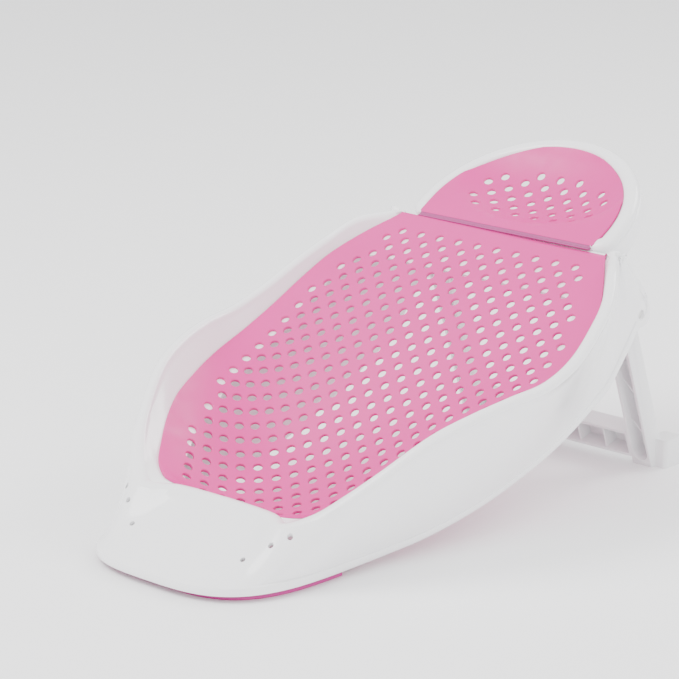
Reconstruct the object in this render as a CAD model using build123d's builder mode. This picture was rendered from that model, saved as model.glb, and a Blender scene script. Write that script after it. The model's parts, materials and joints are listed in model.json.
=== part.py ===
"""Reclined baby bath support: a moulded shell with soft perforated liners, a headrest that
folds on a soft hinge at the neck, and a rear stand that folds forward under the shell."""
from build123d import *
import os
from math import cos, sin, radians

# ---- driving dimensions, millimetres and degrees -------------------------------------
beam = 352                  # overall width across the rolled rim
body_length = 418           # front lip to the neck crease, measured level
neck_height = 206.6         # neck crease above the floor
wall = 3.0                  # moulded shell wall
nose_wall = 8.0             # same wall measured level through the sloping front tray

liner = 2.5                 # thickness of the soft liners
seat_gap = 0.3              # gap between a liner and the shell under it
liner_edge_gap = 1.0        # liner edge to the basin wall
window_margin = 26.0        # shell left under the liner's edge

recline = 30.0              # slope of the headrest and of the upper back
headrest_top = 123.0        # crease to the top of the headrest, along its slope
headrest_half = 108.0       # half width of the headrest
headrest_shoulder = 22.0    # crease to the widest place of the headrest
headrest_corner = 15.0      # radius of its lower corners
headrest_rim = 13.0         # white rim round the headrest liner
headrest_depth_neck = 26.0  # skirt depth at the neck
headrest_depth_top = 17.0   # skirt depth at the top
dish_half = 86.0            # headrest dish: half width, half length, depth, centre
dish_half_length = 48.0
dish_depth = 15.0
dish_centre = 60.0
neck_gap = 0.25             # each neck wall to the hinge plane
neck_beam = 30.0            # depth of the neck walls
crease_bead = 1.2           # radius of the soft bead on the hinge line
crease_half = 93.0          # half length of the crease

strip_height = 5.0          # grip strip under the front
strip_width = 8.0
strip_side_inset = 4.0      # strip behind the shell's bottom edge, at the sides
strip_nose_inset = 9.0      # and at the front lip
strip_end = 119.0           # lip to the strip's blunt ends
rail_thickness = 3.5        # shell flange that the strip is bonded to

pivot_behind = 37.0         # stand pivot behind the crease
pivot_below = 59.6          # stand pivot below the crease
pin_radius = 4.0
pin_clearance = 0.05
pin_recess = 2.0            # pin end below the skirt's outer face
boss_radius = 9.0
ear_radius = 12.0
stand_lean = 19.2           # the stand's backward lean from upright
leg_width = 20.0
leg_depth = 17.6
leg_outer = 104.5           # outer face of a leg from the middle
leg_heel = 15.0             # leg above the pivot
leg_wall = 2.5
leg_head = 12.0             # solid end of a leg below the pivot
leg_side_gap = 1.0          # leg to the pivot boss
bar_height = 25.0           # crossbar, measured along the legs
bar_above_floor = 9.0
bar_ribs = 5
rib = 1.8                   # thickness of the stand's ribs
foot_outer = 115.5          # outer face of a foot from the middle
foot_lap = 8.0              # foot inside the leg's outer face
foot_height = 25.0
foot_depth = 24.0
foot_behind = 46.0          # front of a foot behind the pivot
stop_above = 8.8            # stop block above the pivot, along the leg
stop_length = 8.0
stop_gap = 0.1
pin_head_radius = 6.5
pin_head = 2.0

# ---- places worked out from the sizes --------------------------------------------------
lean = radians(recline)
rear_reach = headrest_top * cos(lean) + headrest_depth_top * sin(lean)
lip_y = -(body_length + rear_reach) / 2
crease_y = lip_y + body_length
crease_z = neck_height
pivot_y = crease_y + pivot_behind
pivot_z = crease_z - pivot_below
half = beam / 2
liner_lift = seat_gap + liner

# The hull's lines are drawn for a body 352 wide, 418 long and 206.6 high, and are scaled
# to the sizes above. Distances along the body start at the front lip.
line_x = half / 176
line_y = body_length / 418
line_z = neck_height / 206.6

# from the lip, half width and height of the bottom edge, half width and height of the rim
hull_lines = [
    (119, 98, 5, 131, 87),
    (162, 102, 8, 154, 116),
    (195, 107, 12, 165, 127),
    (230, 112, 19, 172.5, 134),
    (270, 116, 29, 176, 139),
    (305, 118.5, 40, 174.5, 151),
    (338, 120, 52, 168, 169),
    (364, 121, 64, 159.5, 184),
    (388, 121.5, 77, 145, 200),
    (410, 122, 90, 129, 204),
    (480, 120, 134, 124, 206),
]
# level, reach of the nose behind the lip, squareness of the nose
hull_levels = [
    (5, 0, 2.4),
    (26, 42.5, 3.4),
    (47, 85, 5),
    (76, 101, 5),
    (110, 112, 5),
    (160, 106, 5),
    (215, 100, 5),
]
# from the lip: height of the seat's middle, half width and height of its edge, half width
# and height of the rim's inner side
seat_lines = [
    (30, 47, 80, 49.5, 92, 57),
    (83, 47, 80, 49.5, 92, 57),
    (108, 29.5, 98, 58, 112, 76),
    (132, 23.5, 116, 75.5, 130, 98),
    (162, 28.3, 133, 89, 144, 116),
    (195, 43, 145, 99, 155, 127),
    (230, 67, 155, 107.5, 162.5, 134),
    (270, 98.3, 160, 118.5, 166, 139),
    (305, 126, 161, 132.5, 164.5, 151),
    (338, 151.6, 156, 152.5, 158, 169),
    (364, 170, 148, 169.5, 149.5, 184),
    (388, 185.6, 133, 185, 135, 200),
    (412, 199.9, 116, 199, 119, 204),
    (436, 213.7, 112, 212.8, 116, 218),
]
seat_curve = 2.3            # how sharply a seat section turns up towards its edges
liner_start = 86            # front of the liner behind the lip
window_start = 108          # window in the shell under the liner, both from the lip
window_end = 372


def along(distance):
    """Y of a place given by its distance from the lip."""
    return lip_y + distance * line_y


def front_plane(y):
    """Upright plane across the body: its x is X and its y is Z."""
    return Plane(origin=(0, y, 0), x_dir=(1, 0, 0), z_dir=(0, -1, 0))


def side_plane(x):
    """Upright plane along the body: its x is Y and its y is Z."""
    return Plane(origin=(x, 0, 0), x_dir=(0, 1, 0), z_dir=(1, 0, 0))


def neck_plane(offset=0.0):
    """Plane of the hinge line and the neck walls: its x is X and its y runs down the walls."""
    origin = (0, crease_y + offset * cos(lean), crease_z + offset * sin(lean))
    return Plane(origin=origin, x_dir=(1, 0, 0), z_dir=(0, cos(lean), sin(lean)))


def headrest_plane(height=0.0):
    """Plane of the headrest's rim: its x is X and its y runs up the headrest."""
    origin = (0, crease_y - height * sin(lean), crease_z + height * cos(lean))
    return Plane(origin=origin, x_dir=(1, 0, 0), z_dir=(0, -sin(lean), cos(lean)))


def stand_plane(behind=0.0):
    """Plane of the stand: its x is X, its y runs down the legs and its z points backward."""
    tilt = radians(stand_lean)
    origin = (0, pivot_y + behind * cos(tilt), pivot_z + behind * sin(tilt))
    return Plane(origin=origin, x_dir=(1, 0, 0), z_dir=(0, cos(tilt), sin(tilt)))


def mirrored(points):
    """The points of one side, then those of the other side in reverse."""
    return [(-x, y) for x, y in points] + [(x, y) for x, y in reversed(points) if x > 0]


def nose(half_width, reach, squareness, first_y):
    """A blunt nose from its side at first_y round to its middle, one side only."""
    power = 2 / squareness
    side = []
    for angle in (12, 30, 48, 66):
        turn = radians(angle)
        side.append((half_width * cos(turn) ** power, first_y - reach * sin(turn) ** power))
    return side + [(0, first_y - reach)]


def hull(side_inset, nose_inset):
    """The filled outer body, inset level by level."""
    with BuildPart() as body:
        for level, set_back, squareness in hull_levels:
            with BuildSketch(Plane.XY.offset(level * line_z)):
                with BuildLine():
                    side = []
                    for distance, low_x, low_z, rim_x, rim_z in reversed(hull_lines):
                        share = (level - low_z) / (rim_z - low_z)
                        x = (low_x + (rim_x - low_x) * share) * line_x - side_inset
                        side.append((x, along(distance)))
                    first_x, first_y = side[-1]
                    reach = first_y - along(set_back) - nose_inset
                    outline = mirrored(side + nose(first_x, reach, squareness, first_y))
                    Spline(*outline)
                    Line(outline[-1], outline[0])
                make_face()
        loft()
    return body.part


def above_seat(lift, spread):
    """Everything above the seat, basin wall and rim, raised by lift and widened by spread."""
    top = crease_z * 1.6
    side = beam
    with BuildPart() as space:
        for distance, mid_z, edge_x, edge_z, rim_x, rim_z in seat_lines:
            edge = edge_x * line_x + spread
            mid = mid_z * line_z + lift
            rise = (edge_z - mid_z) * line_z
            rim_inner = rim_x * line_x + spread
            rim_top = rim_z * line_z + lift
            bowl = [(edge * share, mid + rise * share ** seat_curve)
                    for share in (1, 0.75, 0.4, 0)]
            rim = [(edge, mid + rise), (rim_inner, rim_top), (side, rim_top), (side, top)]
            with BuildSketch(front_plane(along(distance))):
                with BuildLine():
                    Spline(*mirrored(bowl))
                    Polyline(*reversed(mirrored(rim)))
                make_face()
        loft()
    return space.part


def keep_profile():
    """Side view of the shell: level front foot, rising bottom edge, pivot ear, raked back."""
    high = crease_z * 1.5
    bottom = [(along(distance), low_z * line_z) for distance, _, low_z, _, _ in hull_lines[:-1]]
    ear_low = (pivot_y - ear_radius * 0.2, pivot_z - ear_radius * 0.98)
    ear_back = (pivot_y + ear_radius * 0.87, pivot_z - ear_radius * 0.5)
    ear_high = (pivot_y + ear_radius * 0.82, pivot_z + ear_radius * 0.57)
    with BuildPart() as slab:
        with BuildSketch(side_plane(-beam)):
            with BuildLine():
                Polyline((along(83), high), (lip_y - wall, 4 * bottom[0][1]),
                         (lip_y - wall, bottom[0][1]), bottom[0])
                Spline(*bottom, ear_low)
                ThreePointArc(ear_low, ear_back, ear_high)
                Polyline(ear_high, (crease_y + ear_radius, crease_z - ear_radius),
                         (crease_y - ear_radius / 2, high), (along(83), high))
            make_face()
        extrude(amount=2 * beam)
    return slab.part


def nose_band(low, high, outer_insets, inner_insets):
    """A level band round the nose between two insets of the bottom edge."""
    with BuildPart() as band:
        for insets, mode in ((outer_insets, Mode.ADD), (inner_insets, Mode.SUBTRACT)):
            side_inset, nose_inset = insets
            first = (hull_lines[0][1] * line_x - side_inset, along(strip_end))
            reach = first[1] - lip_y - nose_inset
            outline = mirrored([first] + nose(first[0], reach, hull_levels[0][2], first[1]))
            with BuildSketch(Plane.XY.offset(low)):
                with BuildLine():
                    Spline(*outline)
                    Line(outline[-1], outline[0])
                make_face()
            extrude(amount=high - low, mode=mode)
    return band.part


def seat_prism(inset, start, end, corner):
    """Upright prism on the plan outline of the seat's edge, inset, between two distances."""
    side = [(row[2] * line_x - inset, along(row[0])) for row in seat_lines]
    with BuildPart() as prism:
        with BuildSketch():
            with BuildLine():
                Spline(*side)
                Line(side[-1], (-side[-1][0], side[-1][1]))
                Spline(*[(-x, y) for x, y in side])
                Line(side[0], (-side[0][0], side[0][1]))
            make_face()
            with Locations((0, along((start + end) / 2))):
                Rectangle(2 * beam, (end - start) * line_y, mode=Mode.INTERSECT)
            if corner > 0:
                fillet(vertices(), radius=corner)
        extrude(amount=crease_z * 1.5)
    return prism.part


def headrest_face(inset, neck_inset, corner):
    """Outline of the headrest: straight neck, rounded lower corners, half an ellipse above."""
    side = headrest_half - inset
    low = neck_gap + neck_inset
    with BuildLine() as outline:
        Line((-(side - corner), low), (side - corner, low))
        CenterArc((side - corner, low + corner), corner, -90, 90)
        Line((side, low + corner), (side, headrest_shoulder))
        EllipticalCenterArc((0, headrest_shoulder), side,
                            headrest_top - inset - headrest_shoulder, start_angle=0, arc_size=180)
        Line((-side, headrest_shoulder), (-side, low + corner))
        CenterArc((-(side - corner), low + corner), corner, 180, 90)
    return outline.line


def dish(growth):
    """The headrest's hollow as a flattened ball, grown all round."""
    with BuildPart() as ball:
        Sphere(1)
        scale(by=(dish_half + growth, dish_half_length + growth, dish_depth + growth))
    return headrest_plane() * Pos(0, dish_centre, 0) * ball.part


os.makedirs("parts", exist_ok=True)


def name_and_write(piece, name):
    """Label a finished piece and write its file."""
    piece.label = name
    export_step(piece, f"parts/{name}.step")


# ---- main shell ------------------------------------------------------------------------
strip_outer = (strip_side_inset, strip_nose_inset)
strip_inner = (strip_side_inset + strip_width, strip_nose_inset + strip_width)
shell_top = above_seat(0, 0)
hollow = hull(wall, nose_wall) - above_seat(-wall, wall)
window = seat_prism(window_margin, window_start, window_end, window_margin / 2)
window &= above_seat(-2 * wall, 0)
skirt_x = hull_lines[-1][1] * line_x
boss_face = leg_outer + leg_side_gap
hinge_clear = headrest_half + 4

with BuildPart() as main_shell:
    add(hull(0, 0))
    add(keep_profile(), mode=Mode.INTERSECT)
    add(shell_top, mode=Mode.SUBTRACT)
    add(hollow, mode=Mode.SUBTRACT)
    add(window, mode=Mode.SUBTRACT)
    # flange under the front edge, for the grip strip
    add(nose_band(strip_height, strip_height + rail_thickness, (0.5, 1.5), strip_inner))
    # clear space for the headrest behind the hinge plane, and the neck wall before it
    with BuildSketch(neck_plane(-neck_gap)):
        Rectangle(2 * hinge_clear, 4 * neck_beam)
    extrude(amount=4 * neck_beam, mode=Mode.SUBTRACT)
    with BuildSketch(neck_plane(-neck_gap - wall)):
        with Locations((0, (liner_lift + wall + neck_beam) / 2)):
            Rectangle(2 * (skirt_x - 1), neck_beam - liner_lift - wall)
    extrude(amount=wall)
    for side in (-1, 1):
        # pivot boss inside the ear
        with BuildSketch(side_plane(side * boss_face)):
            with Locations((pivot_y, pivot_z)):
                Circle(boss_radius)
        extrude(amount=side * (skirt_x - 1 - boss_face))
        # stop block that the top of the leg rests on
        stop_x = (leg_outer - foot_lap + skirt_x - 1) / 2
        with BuildSketch(stand_plane(-leg_depth / 2 - stop_gap)):
            with Locations((side * stop_x, -(stop_above + leg_heel) / 2)):
                Rectangle(skirt_x - 1 - leg_outer + foot_lap, leg_heel - stop_above)
        extrude(amount=-stop_length)
        with BuildSketch(side_plane(side * (boss_face - 1))):
            with Locations((pivot_y, pivot_z)):
                Circle(pin_radius + pin_clearance)
        extrude(amount=side * beam / 4, mode=Mode.SUBTRACT)
name_and_write(main_shell.part, "main_shell")

# ---- soft pieces on the main shell -----------------------------------------------------
with BuildPart() as seat_liner:
    add(seat_prism(liner_edge_gap, liner_start, 450, 0))
    add(above_seat(seat_gap, 0), mode=Mode.INTERSECT)
    add(above_seat(liner_lift, 0), mode=Mode.SUBTRACT)
    split(bisect_by=neck_plane(-crease_bead - 0.4), keep=Keep.BOTTOM)
name_and_write(seat_liner.part, "seat_liner")

with BuildPart() as front_grip_strip:
    add(nose_band(0, strip_height, strip_outer, strip_inner))
name_and_write(front_grip_strip.part, "front_grip_strip")

# ---- headrest --------------------------------------------------------------------------
with BuildPart() as headrest_shell:
    with BuildSketch(headrest_plane(-headrest_depth_neck)):
        make_face(headrest_face(0, 0, headrest_corner).edges())
    extrude(amount=headrest_depth_neck)
    with BuildSketch(headrest_plane(-2 * headrest_depth_neck)):
        make_face(headrest_face(wall, wall, headrest_corner - wall).edges())
    extrude(amount=2 * headrest_depth_neck - liner_lift - wall, mode=Mode.SUBTRACT)
    add(dish(liner_lift + wall))
    # pocket for the liner, the dish and the window under it
    with BuildSketch(headrest_plane(-liner_lift)):
        make_face(headrest_face(headrest_rim, -neck_gap - 1, 4).edges())
    extrude(amount=headrest_depth_neck * 2, mode=Mode.SUBTRACT)
    add(dish(liner_lift), mode=Mode.SUBTRACT)
    with BuildSketch(headrest_plane(-2 * headrest_depth_neck)):
        with Locations((0, dish_centre)):
            Ellipse(dish_half - window_margin / 2, dish_half_length - window_margin / 2)
    extrude(amount=2 * headrest_depth_neck, mode=Mode.SUBTRACT)
    # the skirt is shallower towards the top
    with BuildSketch(Plane(origin=(-beam / 2, crease_y, crease_z),
                           x_dir=(0, cos(lean), sin(lean)), z_dir=(1, 0, 0))):
        with BuildLine():
            Polyline((0, 0), (0, -headrest_depth_neck), (headrest_top, -headrest_depth_top),
                     (headrest_top, 0), (0, 0))
        make_face()
    extrude(amount=beam, mode=Mode.INTERSECT)
name_and_write(headrest_shell.part, "headrest_shell")

with BuildPart() as headrest_liner:
    with BuildSketch(headrest_plane(-liner)):
        make_face(headrest_face(headrest_rim + seat_gap, crease_bead + 0.2, 4).edges())
    extrude(amount=liner)
    add(dish(liner))
    with BuildSketch(headrest_plane()):
        Rectangle(beam, beam)
    extrude(amount=beam, mode=Mode.SUBTRACT)
    add(dish(0), mode=Mode.SUBTRACT)
name_and_write(headrest_liner.part, "headrest_liner")

with BuildPart() as neck_hinge_web:
    with BuildSketch(side_plane(-crease_half)):
        with Locations((crease_y, crease_z)):
            Circle(crease_bead)
    extrude(amount=2 * crease_half)
name_and_write(neck_hinge_web.part, "neck_hinge_web")

# ---- rear stand ------------------------------------------------------------------------
tilt = radians(stand_lean)
floor_down = pivot_z / cos(tilt)
leg_x = leg_outer - leg_width / 2
bar_low = floor_down - bar_above_floor / cos(tilt)
channel_depth = leg_depth - leg_wall
channel_x = leg_width - 2 * leg_wall
bar_half = leg_outer - leg_width

with BuildPart() as stand_frame:
    with BuildSketch(stand_plane(-leg_depth / 2)):
        for side in (-1, 1):
            with Locations((side * leg_x, (floor_down + leg_depth - leg_heel) / 2)):
                Rectangle(leg_width, floor_down + leg_depth + leg_heel)
        with Locations((0, bar_low - bar_height / 2)):
            Rectangle(2 * bar_half + 2, bar_height)
    extrude(amount=leg_depth)
    # channels open to the front
    with BuildSketch(stand_plane(-leg_depth / 2)):
        leg_top, leg_low = leg_head, floor_down - leg_depth / 2
        for side in (-1, 1):
            with Locations((side * leg_x, (leg_top + leg_low) / 2)):
                RectangleRounded(channel_x, leg_low - leg_top, channel_x / 2 - 1)
        with Locations((0, bar_low - bar_height / 2)):
            Rectangle(2 * bar_half - 2 * leg_wall, bar_height - 2 * leg_wall)
    extrude(amount=channel_depth, mode=Mode.SUBTRACT)
    # ribs: upright ones in the crossbar, three V shapes in each leg
    with BuildSketch(stand_plane(-leg_depth / 2 + 2)):
        with Locations((0, bar_low - bar_height / 2)):
            with GridLocations(2 * bar_half / (bar_ribs + 1), 1, bar_ribs, 1):
                Rectangle(rib, bar_height - leg_wall)
    extrude(amount=channel_depth - 1)
    with BuildSketch(stand_plane(-leg_depth / 2 + channel_depth / 2)):
        for side in (-1, 1):
            for share in (0.2, 0.5, 0.8):
                point = leg_top + (leg_low - leg_top) * share
                with BuildLine():
                    arm = channel_x / 2 + 0.5
                    Polyline((side * leg_x - arm, point - arm), (side * leg_x, point + arm / 2),
                             (side * leg_x + arm, point - arm), (side * leg_x + arm, point - arm - rib),
                             (side * leg_x, point + arm / 2 - 1.6 * rib),
                             (side * leg_x - arm, point - arm - rib),
                             (side * leg_x - arm, point - arm))
                make_face()
    extrude(amount=channel_depth / 2 + 0.5)
    # feet on the floor beside and behind the legs
    with BuildSketch():
        for side in (-1, 1):
            with Locations((side * (foot_outer + leg_outer - foot_lap) / 2,
                            pivot_y + foot_behind + foot_depth / 2)):
                RectangleRounded(foot_outer - leg_outer + foot_lap, foot_depth, 4)
    extrude(amount=foot_height)
    with BuildSketch():
        Rectangle(2 * beam, 4 * body_length)
    extrude(amount=-beam, mode=Mode.SUBTRACT)
    with BuildSketch(side_plane(-beam)):
        with Locations((pivot_y, pivot_z)):
            Circle(pin_radius)
    extrude(amount=2 * beam, mode=Mode.SUBTRACT)
name_and_write(stand_frame.part, "stand_frame")

for side, name in ((-1, "left"), (1, "right")):
    with BuildPart() as pin:
        with BuildSketch(side_plane(side * bar_half)):
            with Locations((pivot_y, pivot_z)):
                Circle(pin_radius)
        extrude(amount=side * (skirt_x - pin_recess - bar_half))
        chamfer(pin.faces().sort_by(Axis.X)[-1 if side > 0 else 0].edges(), length=0.6)
        with BuildSketch(side_plane(side * bar_half)):
            with Locations((pivot_y, pivot_z)):
                Circle(pin_head_radius)
        extrude(amount=-side * pin_head)
    name_and_write(pin.part, f"stand_pivot_pin_{name}")
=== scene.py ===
"""Reclined baby bath support: glossy moulded shell, soft perforated liners, folding headrest and
rear stand. Sizes are millimetres until a mesh is made, then metres in the frame of the part."""
import json
from math import cos, pi, radians, sin

import bmesh
import bpy
import numpy as np
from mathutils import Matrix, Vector
from mathutils.geometry import delaunay_2d_cdt

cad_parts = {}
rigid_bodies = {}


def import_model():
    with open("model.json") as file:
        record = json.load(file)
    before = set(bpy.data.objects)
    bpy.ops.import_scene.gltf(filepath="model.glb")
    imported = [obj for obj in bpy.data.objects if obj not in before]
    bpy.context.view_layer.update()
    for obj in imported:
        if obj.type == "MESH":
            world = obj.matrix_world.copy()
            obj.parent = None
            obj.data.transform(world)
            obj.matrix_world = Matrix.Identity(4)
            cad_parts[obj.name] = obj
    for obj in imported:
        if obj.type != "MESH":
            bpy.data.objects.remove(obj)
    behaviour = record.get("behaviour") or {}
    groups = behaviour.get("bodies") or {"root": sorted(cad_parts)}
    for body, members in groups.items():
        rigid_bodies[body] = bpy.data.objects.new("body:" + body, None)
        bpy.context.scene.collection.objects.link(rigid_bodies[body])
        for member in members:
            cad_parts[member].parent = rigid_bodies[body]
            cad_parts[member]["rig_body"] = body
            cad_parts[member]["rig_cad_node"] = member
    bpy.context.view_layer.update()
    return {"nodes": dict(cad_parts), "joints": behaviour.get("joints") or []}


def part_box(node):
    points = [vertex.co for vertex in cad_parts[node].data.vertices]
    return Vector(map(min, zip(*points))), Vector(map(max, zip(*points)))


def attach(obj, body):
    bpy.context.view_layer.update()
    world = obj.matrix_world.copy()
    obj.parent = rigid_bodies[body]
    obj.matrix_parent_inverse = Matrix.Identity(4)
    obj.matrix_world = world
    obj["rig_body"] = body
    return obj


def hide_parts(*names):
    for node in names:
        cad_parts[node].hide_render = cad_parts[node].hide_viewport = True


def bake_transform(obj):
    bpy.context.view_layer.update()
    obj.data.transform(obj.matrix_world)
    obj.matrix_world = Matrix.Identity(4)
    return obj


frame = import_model()
MM = 0.001

# ---- places taken from the frame -------------------------------------------------------
joints = {joint["name"]: joint for joint in frame["joints"]}
crease_y, crease_z = (value / MM for value in joints["headrest_fold"]["pos_m"][1:])
pivot_y, pivot_z = (value / MM for value in joints["stand_fold"]["pos_m"][1:])
lip_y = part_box("main_shell")[0].y / MM

# ---- the moulded shell ------------------------------------------------------------------
wall = 3.0
liner = 2.5
seat_gap = 0.3
liner_lift = seat_gap + liner
window_margin = 26.0
window_front, window_back = 108.0, 372.0
recline = radians(30)
floor_line = 5.0            # bottom edge of the shell at the lip
nose_start = 119.0          # from the lip to where the sides begin
nose_half = 98.0
nose_squareness = 3.2
ear_radius = 12.0
ear_x = 121.0
bore_radius = 4.05
boss_radius = 9.0
boss_face = 105.5

# from the lip: half width and height of the bottom edge, then of the rim's outer side
hull_lines = np.array([
    (119, 98, 5, 131, 87), (162, 102, 8, 154, 116), (195, 107, 12, 165, 127),
    (230, 112, 19, 172.5, 134), (270, 116, 29, 176, 139), (305, 118.5, 40, 174.5, 151),
    (338, 120, 52, 168, 169), (364, 121, 64, 159.5, 184), (388, 121.5, 77, 145, 200),
    (410, 122, 90, 129, 204),
], float)
# from the lip: height of the seat's middle, half width and height of its edge
seat_lines = np.array([
    (30, 47, 80, 49.5), (83, 47, 80, 49.5), (108, 29.5, 98, 58), (132, 23.5, 116, 75.5),
    (162, 28.3, 133, 89), (195, 43, 145, 99), (230, 67, 155, 107.5), (270, 98.3, 160, 118.5),
    (305, 126, 161, 132.5), (338, 151.6, 156, 152.5), (364, 170, 148, 169.5),
    (388, 185.6, 133, 185), (412, 199.9, 116, 199), (436, 213.7, 112, 212.8),
], float)
seat_curve = 2.3
# ridge behind the tray, from the middle out: place round the rim, x, distance from the lip and z
ridge = [(0, 0, 86.5, 49.5), (0.3, 50, 83.5, 49.5), (0.5, 77, 72.5, 50.5),
         (0.68, 97, 85.5, 59), (0.85, 115, 103.5, 75)]
# edge of the seat behind the ridge: place round the rim, x, distance from the lip
seat_front = [(0, 0, 94.5), (0.3, 45, 93.5), (0.5, 68, 89.5), (0.68, 83, 95.5),
              (0.85, 96, 105.5)]
# drain holes in the tray: x, distance from the lip
drain_holes = [(86, 72.5), (77, 59.5), (63, 40.5)]
bead_half = 5.0             # half width of the rolled rim at the sides
bead_front_half = 7.5       # and at the ridge behind the tray
bead_front_high = 3.5
flange_high = 7.0           # upright band along the bottom edge
flange_step = 0.6           # the skirt above it stands back by this, twice that at the sides
tray_sag, side_sag = 5.0, 1.2
drain_radius, drain_length = 2.3, 34.0
drain_level = 32.0
drain_lean = (0.25, -0.45, 0.86)
bore_middle, bore_length = 115.0, 30.0

# ---- the strip under the front ---------------------------------------------------------------
strip_height, strip_width = 5.0, 8.0
strip_nose_inset, strip_side_inset = 9.0, 4.0
strip_corner = 0.8

# ---- the headrest ------------------------------------------------------------------------
headrest_half, headrest_top, headrest_shoulder = 108.0, 123.0, 22.0
headrest_corner = 15.0
headrest_rim = 13.0
headrest_depth_neck, headrest_depth_top = 26.0, 17.0
dish_half, dish_half_length, dish_depth, dish_centre = 86.0, 48.0, 15.0, 60.0
neck_gap = 0.25
neck_beam = 30.0
crease_half = 93.0

# ---- the perforations ----------------------------------------------------------------------
hole_radius = 3.9
hole_pitch, hole_rows_apart = 21.0, 10.5
plain_margin = 18.0


# ---- lines and surfaces ------------------------------------------------------------------
def through(places, values):
    """A smooth line through the values at rising places, straight beyond its ends."""
    places = np.asarray(places, float)
    values = np.asarray(values, float)
    slopes = np.gradient(values, places, axis=0)

    def at(where):
        where = np.asarray(where, float)
        flat = np.atleast_1d(where).ravel()
        i = np.clip(np.searchsorted(places, flat) - 1, 0, len(places) - 2)
        span = places[i + 1] - places[i]
        inside = np.clip(flat, places[0], places[-1])
        s = (inside - places[i]) / span
        beyond = flat - inside
        if values.ndim > 1:
            span, s, beyond = span[:, None], s[:, None], beyond[:, None]
        line = ((1 + 2 * s) * (1 - s) ** 2 * values[i] + s * (1 - s) ** 2 * span * slopes[i]
                + s * s * (3 - 2 * s) * values[i + 1] - s * s * (1 - s) * span * slopes[i + 1])
        end = np.where(beyond > 0, slopes[-1], slopes[0])
        return (line + beyond * end).reshape(where.shape + values.shape[1:])
    return at


seat_at = through(seat_lines[:, 0], seat_lines[:, 1:])


def seat_height(x, y):
    """Height of the shell's seat surface under the liner."""
    mid, edge, edge_z = np.moveaxis(seat_at(np.asarray(y, float) - lip_y), -1, 0)
    share = np.minimum(np.abs(x) / edge, 1.2)
    return mid + (edge_z - mid) * share ** seat_curve


def ease(low, high, value):
    """0 below low, 1 above high and a smooth rise between."""
    share = np.clip((np.asarray(value, float) - low) / (high - low), 0, 1)
    return share * share * (3 - 2 * share)


def nose_edge(place):
    """Bottom edge round the nose: 0 at its middle, 1 where the sides begin."""
    turn = np.asarray(place, float) * pi / 2
    power = 2 / nose_squareness
    x = nose_half * np.sin(turn) ** power
    y = lip_y + nose_start * (1 - np.cos(turn) ** power)
    return np.stack([x, y, np.full_like(x, floor_line)], -1)


def headrest_point(x, s, n):
    """A place on the headrest: across, up its slope and out of its plane."""
    x, s, n = np.broadcast_arrays(np.asarray(x, float), s, n)
    return np.stack([x, crease_y + s * cos(recline) - n * sin(recline),
                     crease_z + s * sin(recline) + n * cos(recline)], -1)


def dish(x, s):
    """Depth of the headrest's hollow, eased into the flat round it."""
    away = (np.asarray(x) / dish_half) ** 2 + ((np.asarray(s) - dish_centre) / dish_half_length) ** 2
    return dish_depth * np.clip(1 - away, 0, None) ** 0.85


# ---- meshes ----------------------------------------------------------------------------------
def finished(piece, body, replaces=()):
    """The piece rides on its body and stands for its nodes."""
    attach(piece, body)
    if replaces:
        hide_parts(*replaces)
    return piece


def make_object(name, points, faces, material, sharp=40.0):
    """A closed mesh from points in millimetres, smooth but for its sharp edges."""
    mesh = bpy.data.meshes.new(name)
    mesh.from_pydata((np.asarray(points, float) * MM).tolist(), [], [list(map(int, f)) for f in faces])
    piece = bpy.data.objects.new(name, mesh)
    bpy.context.scene.collection.objects.link(piece)
    tidy_mesh(piece, sharp)
    mesh.materials.append(material)
    return piece


def tidy_mesh(piece, sharp):
    """Merge doubles, point the faces outwards and mark the sharp edges."""
    work = bmesh.new()
    work.from_mesh(piece.data)
    bmesh.ops.remove_doubles(work, verts=work.verts, dist=0.00001)
    bmesh.ops.dissolve_degenerate(work, edges=work.edges, dist=0.00001)
    bmesh.ops.recalc_face_normals(work, faces=work.faces)
    work.to_mesh(piece.data)
    work.free()
    for polygon in piece.data.polygons:
        polygon.use_smooth = True
    piece.data.set_sharp_from_angle(angle=radians(sharp))


def joined(name, pieces):
    """One object from several closed ones."""
    first = pieces[0]
    work = bmesh.new()
    for piece in pieces:
        work.from_mesh(piece.data)
    work.to_mesh(first.data)
    work.free()
    for piece in pieces[1:]:
        bpy.data.objects.remove(piece)
    first.name = first.data.name = name
    for polygon in first.data.polygons:
        polygon.use_smooth = True
    first.data.set_sharp_from_angle(angle=radians(40))
    return first


def plain(piece):
    """The piece with its modifiers worked out and gone."""
    evaluated = piece.evaluated_get(bpy.context.evaluated_depsgraph_get())
    mesh = bpy.data.meshes.new_from_object(evaluated)
    piece.modifiers.clear()
    piece.data = mesh
    return piece


def sweep(grid, ring=False):
    """Points and faces of a closed skin: each row of the grid is a closed section."""
    rows, count = grid.shape[:2]
    index = np.arange(rows * count).reshape(rows, count)
    faces = []
    for i in range(rows if ring else rows - 1):
        here, there = index[i], index[(i + 1) % rows]
        for k in range(count):
            nxt = (k + 1) % count
            faces.append((here[k], here[nxt], there[nxt], there[k]))
    if not ring:
        half = count // 2
        for row in (index[0], index[-1]):
            for k in range(half - 1):
                faces.append((row[k], row[k + 1], row[count - 2 - k], row[count - 1 - k]))
    return grid.reshape(-1, 3), faces


def revolved(name, profile, centre, material, turns=40):
    """A ring round an axis along X, from its closed section (x, radius)."""
    angles = np.linspace(0, 2 * pi, turns, endpoint=False)
    grid = np.array([[(x, centre[0] + r * cos(a), centre[1] + r * sin(a)) for x, r in profile]
                     for a in angles])
    return make_object(name, *sweep(grid, ring=True), material)


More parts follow.
